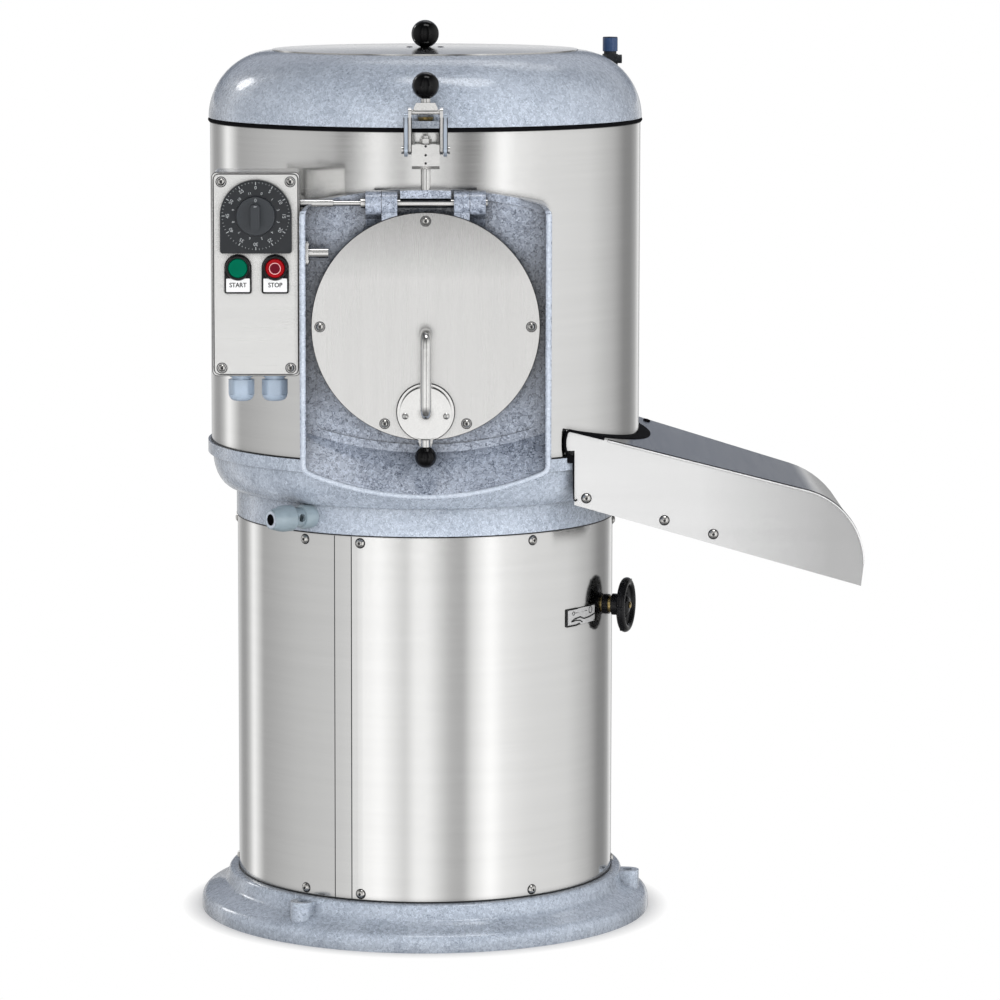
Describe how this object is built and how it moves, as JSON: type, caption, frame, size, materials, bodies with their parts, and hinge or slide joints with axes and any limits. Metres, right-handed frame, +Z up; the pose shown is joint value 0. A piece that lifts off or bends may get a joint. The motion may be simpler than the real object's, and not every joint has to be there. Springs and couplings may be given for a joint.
{
  "type": "onion peeling machine",
  "caption": "Upright onion peeling machine: a lidded drum with a discharge door and a turning knife disc, on a round cabinet with a peel chute, control box and tie-down base.",
  "frame": {"origin": "centre of the circle of tie-down holes, on the floor under the base ring", "axes": "+Z up along the drum's axis, -Y towards the front with the door, +X towards the side with the peel chute"},
  "size_m": [0.761, 0.621, 1.0432],
  "materials": {
    "hammer_paint": "hammertone blue-grey enamel, glossy",
    "brushed_sheet": "fine brushed stainless sheet",
    "bright_steel": "polished",
    "knife_steel": "ground, satin",
    "machined_iron": "oiled dark grey",
    "black_rubber": "matt",
    "black_gloss": "polished phenolic",
    "black_matt": "fine moulded grain",
    "button_green": "moulded",
    "button_red": "moulded",
    "gland_enamel": "light blue-grey enamel",
    "yellow_brass": "turned"
  },
  "bodies": {
    "machine": {"base_casting": "hammer_paint", "side_panel": "brushed_sheet", "service_panel": "brushed_sheet", "seam_strips": "brushed_sheet", "panel_screws": "bright_steel", "support_pillars": "machined_iron", "pan_casting": "hammer_paint", "drum_shell": "brushed_sheet", "drum_liner": "black_rubber", "drum_gasket": "black_rubber", "door_frame": "hammer_paint", "door_sensor": "bright_steel", "latch_post": "bright_steel", "latch_block": "bright_steel", "lid_hinge_bracket": "hammer_paint", "lid_hinge_pin": "bright_steel", "control_box": "brushed_sheet", "control_cover": "brushed_sheet", "control_screws": "bright_steel", "timer_plate": "black_matt", "button_bezels": "black_matt", "cable_glands": "gland_enamel", "box_bracket": "brushed_sheet", "inlet_fitting": "hammer_paint", "wheel_bush": "yellow_brass", "chute_hood": "brushed_sheet", "chute_floor": "brushed_sheet", "chute_seal": "black_rubber", "motor": "machined_iron", "motor_plate": "machined_iron", "drive_belt": "black_rubber", "bearing_housing": "hammer_paint", "air_pipe": "brushed_sheet", "air_elbow": "black_matt"},
    "lid": {"lid_casting": "hammer_paint", "lid_plate": "brushed_sheet", "lid_knob": "black_gloss", "lid_catch": "yellow_brass"},
    "latch": {"latch_arms": "hammer_paint", "latch_lever": "bright_steel", "latch_ball": "black_gloss"},
    "door": {"door_casting": "hammer_paint", "door_plate": "brushed_sheet", "door_gasket": "black_rubber", "door_handle": "bright_steel", "door_screws": "bright_steel", "hinge_shaft": "bright_steel"},
    "lock": {"lock_lever": "bright_steel", "lock_ball": "black_gloss"},
    "timer": {"timer_knob": "black_matt"},
    "start": {"start_button": "button_green"},
    "stop": {"stop_button": "button_red"},
    "adjuster": {"handwheel": "black_gloss"},
    "wedge": {"lift_wedge": "machined_iron"},
    "sleeve": {"quill": "machined_iron", "spindle_bearings": "bright_steel"},
    "rotor": {"spindle": "bright_steel", "spindle_pulley": "machined_iron", "knife_disc": "knife_steel"},
    "drive_pulley": {"motor_pulley": "machined_iron"}
  },
  "joints": [
    {"name": "lid_hinge", "type": "hinge", "parent": "machine", "child": "lid", "pos_m": [0, 0.276, 0.9302], "axis": [-1, 0, 0], "range_deg": [0, 95]},
    {"name": "latch_pivot", "type": "hinge", "parent": "machine", "child": "latch", "pos_m": [0, -0.281, 0.9087], "axis": [1, 0, 0], "range_deg": [0, 90]},
    {"name": "door_hinge", "type": "hinge", "parent": "machine", "child": "door", "pos_m": [0, -0.277, 0.8497], "axis": [-1, 0, 0], "range_deg": [0, 85]},
    {"name": "door_lock", "type": "hinge", "parent": "door", "child": "lock", "pos_m": [0, -0.295, 0.619], "axis": [0, 1, 0], "range_deg": [0, 50]},
    {"name": "timer_turn", "type": "hinge", "parent": "machine", "child": "timer", "pos_m": [-0.1871, -0.3, 0.837], "axis": [0, 1, 0], "range_deg": [0, 300]},
    {"name": "start_press", "type": "slide", "parent": "machine", "child": "start", "axis": [0, 1, 0], "range_m": [0, 0.004], "stiffness_N_per_m": 400},
    {"name": "stop_press", "type": "slide", "parent": "machine", "child": "stop", "axis": [0, 1, 0], "range_m": [0, 0.004], "stiffness_N_per_m": 400},
    {"name": "handwheel_turn", "type": "hinge", "parent": "machine", "child": "adjuster", "pos_m": [0.23012, -0.06816, 0.368], "axis": [0.9588, -0.284, 0], "range_deg": [0, 2160]},
    {"name": "wedge_slide", "type": "slide", "parent": "machine", "child": "wedge", "axis": [-0.9588, 0.284, 0], "range_m": [0, 0.018]},
    {"name": "quill_lift", "type": "slide", "parent": "machine", "child": "sleeve", "axis": [0, 0, 1], "range_m": [0, 0.006]},
    {"name": "spindle_spin", "type": "hinge", "parent": "sleeve", "child": "rotor", "pos_m": [0, 0, 0.45], "axis": [0, 0, 1], "continuous": true},
    {"name": "motor_spin", "type": "hinge", "parent": "machine", "child": "drive_pulley", "pos_m": [-0.05084, 0.11419, 0.304], "axis": [0, 0, 1], "continuous": true}
  ],
  "couplings": [
    {"joint": "handwheel_turn", "follows": "wedge_slide", "rad_per_m": 2094.4},
    {"joint": "quill_lift", "follows": "wedge_slide", "ratio": 0.33333},
    {"joint": "motor_spin", "follows": "spindle_spin", "ratio": 1.8333}
  ]
}
